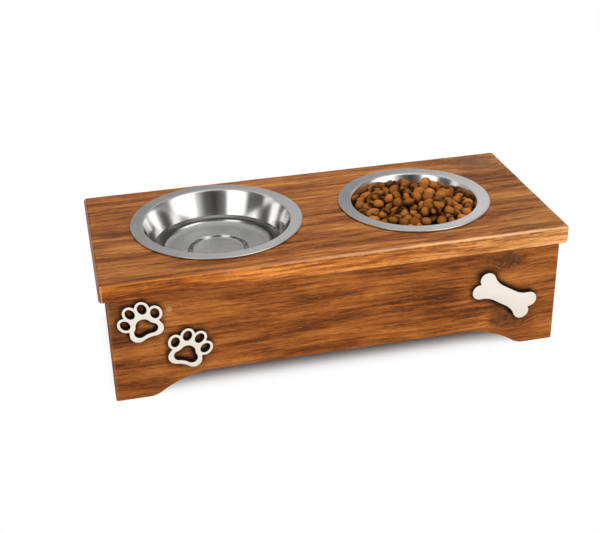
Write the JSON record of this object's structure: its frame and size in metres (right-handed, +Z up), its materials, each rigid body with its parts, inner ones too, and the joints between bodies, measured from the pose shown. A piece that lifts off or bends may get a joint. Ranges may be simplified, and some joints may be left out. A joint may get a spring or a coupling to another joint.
{
  "type": "elevated dog feeder",
  "caption": "Low raised feeder for a small dog or cat: a stained pine box with an arched front, a thick top board and two lift-out steel bowls in round holes.",
  "frame": {"origin": "centre of the footprint on the floor: the middle of the whole object's box, at the undersides of the feet", "axes": "+X to the right along the length, seen from the front; +Y from the front to the back; +Z up. The badges are on the front, which faces -Y."},
  "size_m": [0.43, 0.19, 0.1223],
  "materials": {
    "top_wood": "walnut-brown stain on pine, long grain with darker streaks, satin oil",
    "panel_wood": "darker walnut-brown stain on pine, satin oil, lighter worn edges",
    "plain_wood": "bare planed pine",
    "badge_plywood": "pale birch plywood, smooth face, burnt brown cut edges",
    "bowl_steel": "satin rim, polished inside",
    "screw_zinc": "bright zinc"
  },
  "bodies": {
    "stand": {"top_board": "top_wood", "front_panel": "panel_wood", "back_panel": "panel_wood", "left_side_panel": "panel_wood", "right_side_panel": "panel_wood", "front_left_block": "plain_wood", "front_right_block": "plain_wood", "back_left_block": "plain_wood", "back_right_block": "plain_wood", "left_batten": "plain_wood", "right_batten": "plain_wood", "front_panel_screws": "screw_zinc", "back_panel_screws": "screw_zinc", "left_panel_screws": "screw_zinc", "right_panel_screws": "screw_zinc", "top_board_screws": "screw_zinc", "upper_paw_badge": "badge_plywood", "lower_paw_badge": "badge_plywood", "bone_badge": "badge_plywood"},
    "left_bowl": {"left_bowl": "bowl_steel"},
    "right_bowl": {"right_bowl": "bowl_steel"}
  },
  "joints": [
    {"name": "left_bowl_lift", "type": "slide", "parent": "stand", "child": "left_bowl", "axis": [0, 0, 1], "range_m": [0, 0.06]},
    {"name": "right_bowl_lift", "type": "slide", "parent": "stand", "child": "right_bowl", "axis": [0, 0, 1], "range_m": [0, 0.06]}
  ]
}
